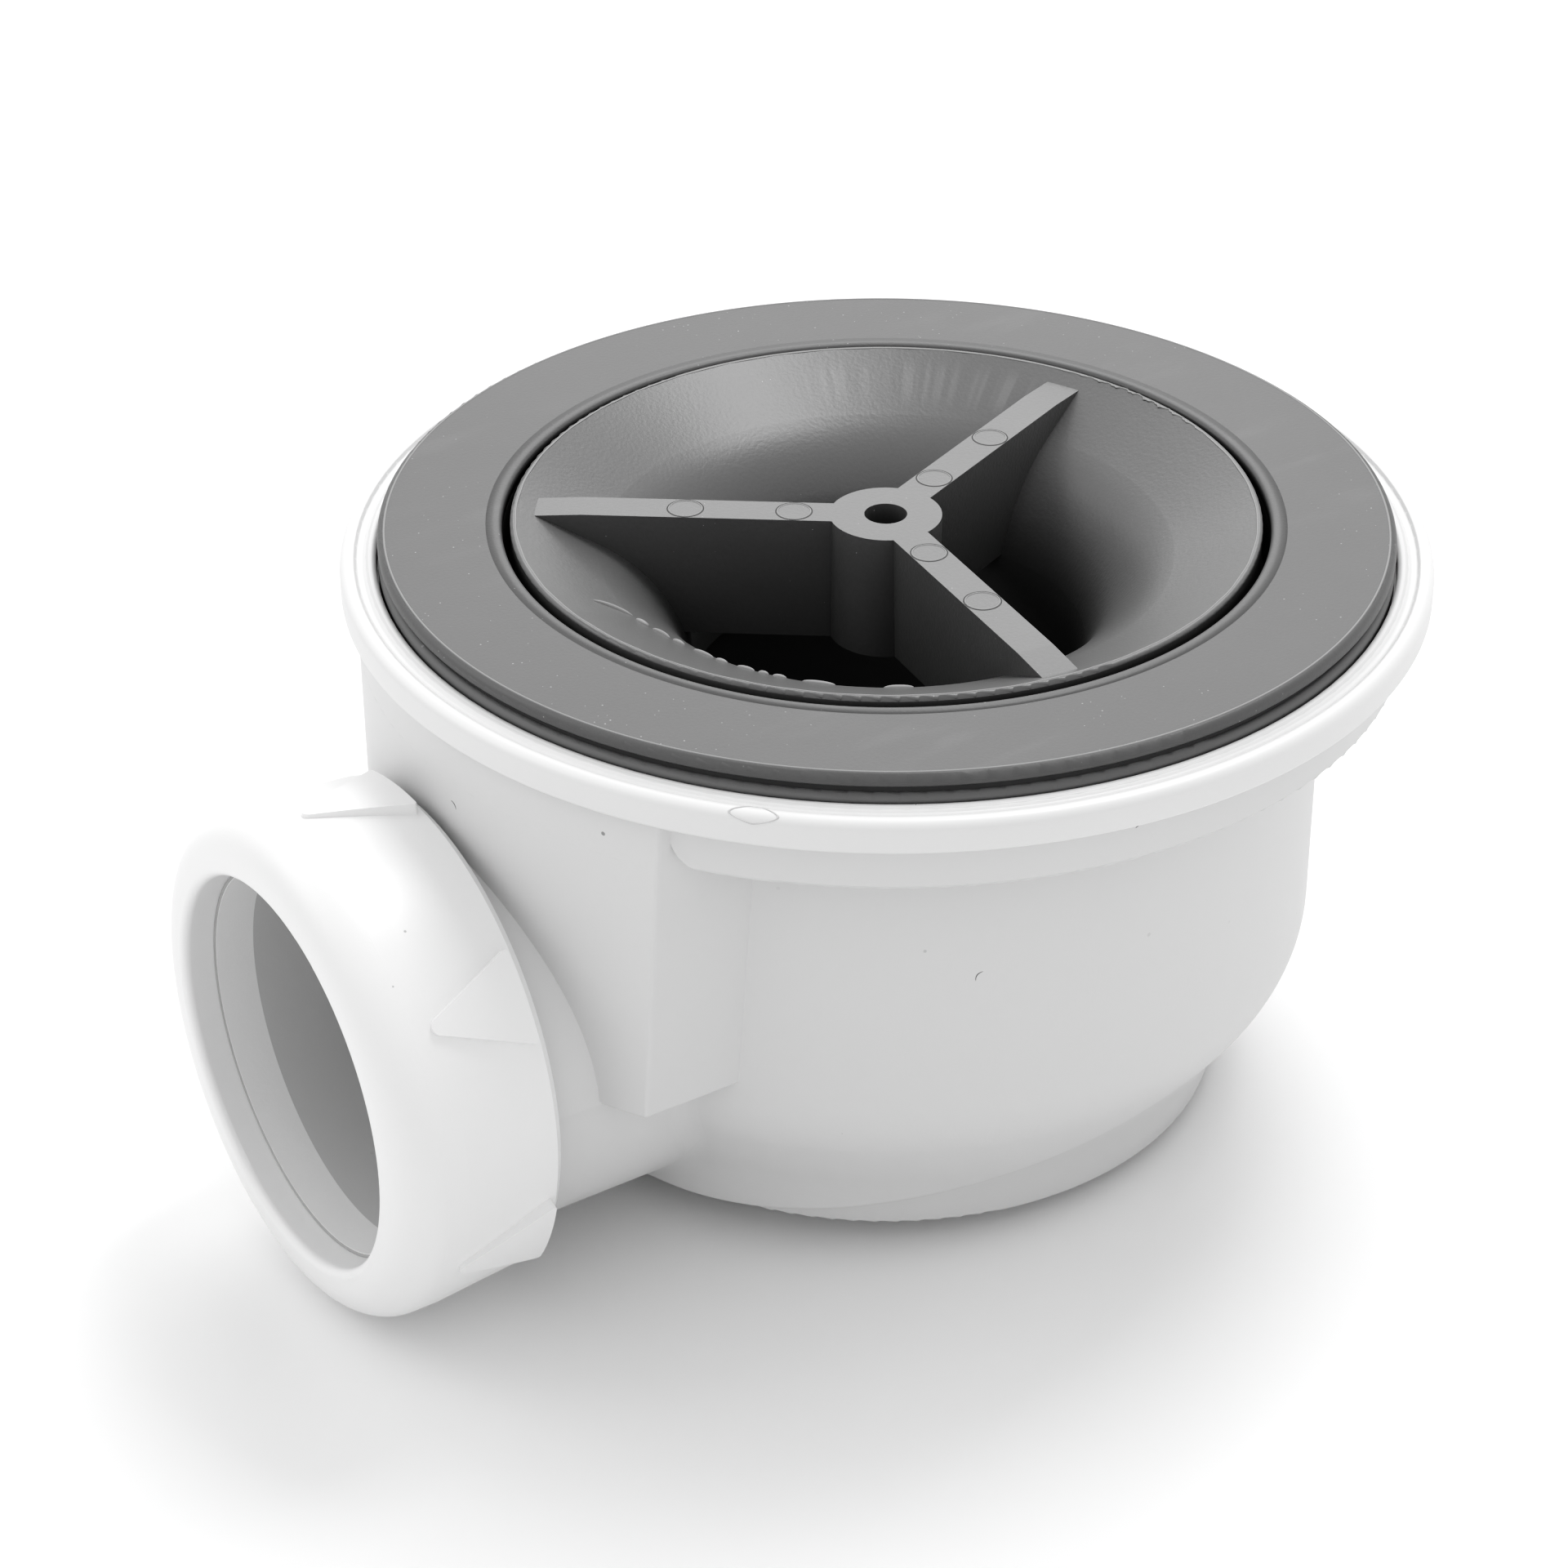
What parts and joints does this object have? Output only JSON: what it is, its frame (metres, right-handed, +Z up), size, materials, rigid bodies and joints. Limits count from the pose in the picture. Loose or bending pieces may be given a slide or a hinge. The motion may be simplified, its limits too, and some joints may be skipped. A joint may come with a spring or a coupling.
{
  "type": "shower trap",
  "caption": "Low shower trap with a removable funnel insert, a screw-in clamping collar, a bowl with a drop shaft and a side outlet closed by a ribbed compression nut.",
  "frame": {"origin": "centre of the bowl's flat foot, on the main axis of the bowl, collar and funnel", "axes": "+Z up along the main axis, towards the funnel's mouth; +X along the outlet, away from the bowl"},
  "size_m": [0.1315, 0.114, 0.0707],
  "materials": {
    "white_plastic": "satin moulded polypropylene",
    "nut_plastic": "satin moulded polypropylene",
    "grey_plastic": "matt moulded polypropylene",
    "grey_rubber": "matt",
    "dark_rubber": "matt",
    "pale_rubber": "matt"
  },
  "bodies": {
    "trap": {"trap_body": "white_plastic", "outlet_shaft": "white_plastic", "tray_seal": "grey_rubber", "outlet_seal": "pale_rubber"},
    "gasket": {"upper_gasket": "dark_rubber"},
    "collar": {"clamp_collar": "grey_plastic"},
    "insert": {"funnel_insert": "grey_plastic", "dip_tube": "grey_plastic", "insert_o_ring": "dark_rubber"},
    "washer": {"slip_washer": "nut_plastic"},
    "nut": {"outlet_nut": "nut_plastic"}
  },
  "joints": [
    {"name": "collar_rise", "type": "slide", "parent": "trap", "child": "gasket", "axis": [0, 0, 1], "range_m": [0, 0.0091]},
    {"name": "collar_turn", "type": "hinge", "parent": "gasket", "child": "collar", "pos_m": [0, 0, 0.064], "axis": [0, 0, 1], "range_deg": [0, 1080]},
    {"name": "insert_lift", "type": "slide", "parent": "collar", "child": "insert", "axis": [0, 0, 1], "range_m": [0, 0.06]},
    {"name": "nut_travel", "type": "slide", "parent": "trap", "child": "washer", "axis": [1, 0, 0], "range_m": [0, 0.0091]},
    {"name": "nut_turn", "type": "hinge", "parent": "washer", "child": "nut", "pos_m": [0.065, 0, 0.0223], "axis": [1, 0, 0], "range_deg": [0, 1080]}
  ],
  "couplings": [
    {"joint": "collar_rise", "follows": "collar_turn", "m_per_rad": 0.00047746},
    {"joint": "nut_travel", "follows": "nut_turn", "m_per_rad": 0.00047746}
  ]
}
